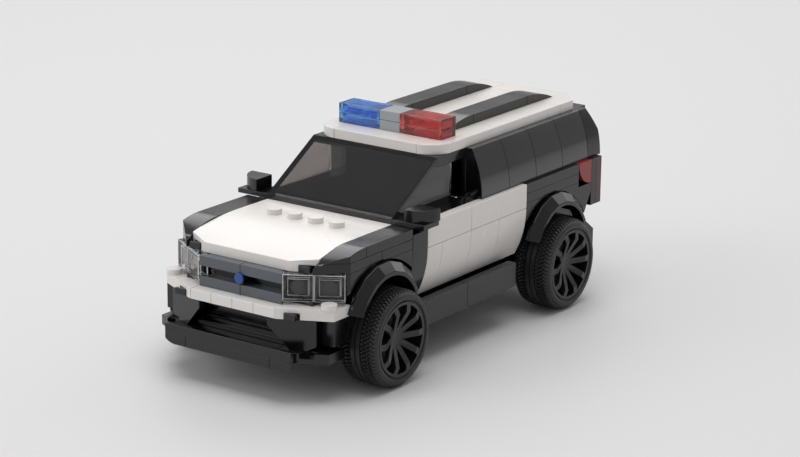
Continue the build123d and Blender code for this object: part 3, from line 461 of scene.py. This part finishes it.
def make_headlights():
    """The blocks, with paler rims as their second material, a painted highlight along their edges,
    and the studs in them.
    """
    low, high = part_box("headlights")
    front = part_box("bumper_wedges")[0].y
    width, height = LAMP_PITCH - LAMP_GAP, (high.z - low.z) / MM
    lenses, studs = bmesh.new(), bmesh.new()
    for side in (-1, 1):
        along = Vector((side * math.cos(LAMP_SWEEP), math.sin(LAMP_SWEEP), 0))
        deep = Vector((-side * math.sin(LAMP_SWEEP), math.cos(LAMP_SWEEP), 0))
        start = Vector((side * LAMP_CORNER[0] * MM, front + LAMP_CORNER[1] * MM, low.z))
        for k in range(2):
            place = frame_at(start + along * ((k * LAMP_PITCH + LAMP_GAP / 2) * MM),
                             along=along, deep=deep)
            add_hollow(lenses, place, (width, height, LAMP_DEEP), LAMP_WALL, LAMP_SKIN)
            add_peg(studs, place, (width / 2, height / 2), LAMP_STUD,
                    LAMP_SKIN + LAMP_STUD_CLEAR, LAMP_DEEP - LAMP_STUD_FOOT)
    lens = body_piece("headlight_lenses", lenses, "clear")
    lens.data.materials.append(LENS_HIGHLIGHT_RIM)
    lens.modifiers["edges"].width = LENS_BEVEL * MM
    lens.modifiers["edges"].material = 1
    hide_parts("headlights")
    body_piece("headlight_studs", studs, "black_plastic")


make_headlights()

# ---- light bar: clear hollow plates in two rows --------------------------------------
PLATE, PLATE_WALL, PLATE_SKIN = 3.2, 1.3, 1.0
PLATE_GAP = 0.1                # between the rows
STUD_R, STUD_H, STUD_GAP = 2.4, 1.6, 0.12      # the lower row's studs keep the gap to its top


def make_light_bar(colour):
    """One end of the bar: two plates, with the lower one's studs inside the upper one."""
    low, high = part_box("light_bar_" + colour)
    size = (high - low) / MM
    bm = bmesh.new()
    for row in (1, 2):
        top = Vector((low.x, low.y, low.z + row * PLATE * MM))
        place = frame_at(top, up=Vector((0, 1, 0)), deep=Vector((0, 0, -1)))
        add_hollow(bm, place, (size.x, size.y, PLATE - (row - 1) * PLATE_GAP), PLATE_WALL,
                   PLATE_SKIN)
        if row == 1:
            for k in (1, 3):
                add_peg(bm, place, (size.x * k / 4, size.y / 2), STUD_R, -STUD_H, -STUD_GAP)
    bar = body_piece("light_bar_" + colour + "_plates", bm, "clear_" + colour)
    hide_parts("light_bar_" + colour)


for colour in ("blue", "red"):
    make_light_bar(colour)

# ---- front fenders, without the offcuts behind their lamps ---------------------------
OFFCUT_BOX = 50                # cubic millimetres; a loose bit in a smaller box is left out


def islands(bm):
    """The sets of vertices that hang together."""
    unseen = set(bm.verts)
    while unseen:
        island, edge = set(), {unseen.pop()}
        while edge:
            island |= edge
            edge = {e.other_vert(v) for v in edge for e in v.link_edges} - island
        unseen -= island
        yield island


def box_volume(verts):
    """The volume of a box round some vertices, in cubic millimetres."""
    return math.prod((max(v.co[i] for v in verts) - min(v.co[i] for v in verts)) / MM
                     for i in range(3))


def make_fenders():
    """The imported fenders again, without the bits too small to be bricks."""
    bm = bmesh.new()
    bm.from_mesh(frame["nodes"]["fenders"].data)
    bmesh.ops.remove_doubles(bm, verts=bm.verts, dist=WELD * MM)
    offcuts = [vert for island in islands(bm) if box_volume(island) < OFFCUT_BOX
               for vert in island]
    bmesh.ops.delete(bm, geom=offcuts, context="VERTS")
    fender = body_piece("front_fenders", bm, "black_plastic")
    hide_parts("fenders")


make_fenders()

# ---- arch flares: faceted half rings, bevelled right across --------------------------
FLARE_RISE = 5.3               # their centre stands this far above the axle
FLARE_LEAN = 0.6               # and this far out from it, towards the car's end
FLARE_RING, FLARE_FACE, FLARE_OPEN = 18.0, 15.3, 13.9            # radii
FLARE_BACK, FLARE_INNER, FLARE_MID, FLARE_OUT = 24.0, 32.0, 33.4, 36.0   # from the middle
FLARE_SEAT = (58, 118)         # degrees; only this part reaches back into the fender
FLARE_ENDS, FLARE_FACET, FLARE_STEP = (18, 158), 20, 5           # degrees


def flare_section(turn):
    """Distances from the car's middle and radii, round one section of a ring."""
    half = FLARE_FACET / 2
    off = (turn - FLARE_ENDS[0]) % FLARE_FACET - half
    flat = math.cos(math.radians(half)) / math.cos(math.radians(off))
    section = [(FLARE_INNER, FLARE_RING * flat), (FLARE_MID, FLARE_RING * flat),
               (FLARE_OUT, FLARE_FACE * flat), (FLARE_OUT, FLARE_OPEN),
               (FLARE_INNER, FLARE_OPEN)]
    if FLARE_SEAT[0] <= turn <= FLARE_SEAT[1]:
        section += [(FLARE_BACK, FLARE_OPEN), (FLARE_BACK, FLARE_RING * flat)]
    return section


def add_flare(bm, axle):
    """One half ring over an axle's end, which is a place in metres."""
    side, end = side_of(axle.x), side_of(axle.y)
    middle = (axle.y / MM + end * FLARE_LEAN, axle.z / MM + FLARE_RISE)
    columns = []
    for turn in range(FLARE_ENDS[0], FLARE_ENDS[1] + 1, FLARE_STEP):
        angle = math.radians(turn)
        columns.append([bm.verts.new((side * x * MM, (middle[0] - r * math.cos(angle)) * MM,
                                      (middle[1] + r * math.sin(angle)) * MM))
                        for x, r in flare_section(turn)])
    for near, far in zip(columns, columns[1:]):
        count = min(len(near), len(far))       # where the seat starts or stops, the ring's own
        for i in range(count):
            j = (i + 1) % count
            bm.faces.new((near[i], near[j], far[j], far[i]))
    for ends in (columns[0], columns[-1]):
        bm.faces.new(ends)
    seats = [column for column in columns if len(column) > 5]
    for seat in (seats[0], seats[-1]):         # close the seat where it starts and stops
        bm.faces.new((seat[0], *seat[4:]))


def make_flares():
    """All four rings as one piece."""
    flares = bmesh.new()
    for corner in CORNERS:
        tyre_low, tyre_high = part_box(corner + "_tyre")
        add_flare(flares, (tyre_low + tyre_high) / 2)
    flare = body_piece("flare_rings", flares, "black_plastic", faceted=True)
    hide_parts("arch_flares")


make_flares()

# ---- black backs of the openings in the white corners: painted shade and black parts behind ---
OPENING_ACROSS = (18.6, 22.9)  # from the car's middle, either side
OPENING_HEIGHT = 2.1           # above the plate's underside
OPENING_DEPTH = (0.9, 1.9)     # behind the plate's front
OPENING_PLAY = 0.03            # kept from the opening's edges


def make_shaded_opening_backs():
    """Four black blocks that are seen through the notches: they stand for the shade inside them
    and for the black parts behind.
    """
    bm = bmesh.new()
    for node in ("hood_front", "bumper_wedges"):
        low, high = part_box(node)
        for side in (-1, 1):
            place = frame_at(Vector((0, low.y, low.z)), along=Vector((side, 0, 0)))
            add_block(bm, place,
                      (OPENING_ACROSS[0] + OPENING_PLAY, OPENING_PLAY, OPENING_DEPTH[0]),
                      (OPENING_ACROSS[1] - OPENING_PLAY, OPENING_HEIGHT - OPENING_PLAY,
                       OPENING_DEPTH[1]))
    body_piece("shaded_opening_backs", bm, "black_plastic")


make_shaded_opening_backs()

# ---- floor, world and soft lights ----------------------------------------------------
FLOOR_COLOUR = (0.71, 0.71, 0.71)              # pale and matt, and it keeps the shadow
FLOOR_SIZE = 8                                 # metres
FLOOR_ROUGH, FLOOR_SPECULAR = 0.55, 0.25
WORLD_COLOUR, WORLD_STRENGTH = (0.92, 0.92, 0.92), 0.43
# place and side in metres, watts
SOFTBOXES = {
    "top": ((0, 0, 1.3), 1.0, 8.1),
    "rear_left": ((-0.7, 0.9, 0.9), 0.8, 3.7),
    "left": ((-1.3, -0.2, 0.6), 0.8, 2.0),
    "front_left": ((-0.8, -1.0, 0.7), 0.8, 4.4),
    "rear": ((0.2, 1.3, 0.7), 0.8, 2.4),
}
AIM = Vector((0, 0, 0.03))                     # metres

floor_material, _, floor_shader = new_material("studio_floor")
floor_shader.inputs["Base Color"].default_value = (*FLOOR_COLOUR, 1)
floor_shader.inputs["Roughness"].default_value = FLOOR_ROUGH
floor_shader.inputs["Specular IOR Level"].default_value = FLOOR_SPECULAR
bpy.ops.mesh.primitive_plane_add(size=FLOOR_SIZE, location=(0, 0, 0))
floor = bpy.context.object
floor.name = "studio_floor"
floor.data.materials.append(floor_material)

world = bpy.data.worlds.new("studio")
bpy.context.scene.world = world
world.use_nodes = True
background = world.node_tree.nodes["Background"]
background.inputs["Color"].default_value = (*WORLD_COLOUR, 1)
background.inputs["Strength"].default_value = WORLD_STRENGTH

for box_name, (spot, box_side, watts) in SOFTBOXES.items():
    light = bpy.data.lights.new(box_name, "AREA")
    light.shape = "RECTANGLE"
    light.size = light.size_y = box_side
    light.energy = watts
    lamp = bpy.data.objects.new(box_name, light)
    bpy.context.scene.collection.objects.link(lamp)
    lamp.location = spot
    lamp.rotation_euler = (AIM - Vector(spot)).to_track_quat("-Z", "Y").to_euler()

# ---- camera, as solved from the photo ------------------------------------------------
CAMERA = Vector((0.46513, -0.65274, 0.26698))  # metres
YAW, PITCH, ROLL = math.radians(35.154), math.radians(16.339), math.radians(0.636)
FOCAL_PIXELS, PICTURE_PIXELS, SENSOR = 2606.07, 800, 36.0

forward = Vector((-math.sin(YAW) * math.cos(PITCH), math.cos(YAW) * math.cos(PITCH),
                  -math.sin(PITCH)))
level_right = Vector((math.cos(YAW), math.sin(YAW), 0))
level_up = level_right.cross(forward)
right = level_right * math.cos(ROLL) + level_up * math.sin(ROLL)
up = level_up * math.cos(ROLL) - level_right * math.sin(ROLL)
lens_data = bpy.data.cameras.new("camera")
lens_data.sensor_fit = "HORIZONTAL"
lens_data.sensor_width = SENSOR
lens_data.lens = FOCAL_PIXELS / PICTURE_PIXELS * SENSOR
camera = bpy.data.objects.new("camera", lens_data)
bpy.context.scene.collection.objects.link(camera)
camera.matrix_world = Matrix.Translation(CAMERA) @ Matrix((
    (right.x, up.x, -forward.x), (right.y, up.y, -forward.y),
    (right.z, up.z, -forward.z))).to_4x4()
bpy.context.scene.camera = camera
bpy.context.scene.view_settings.view_transform = "Standard"
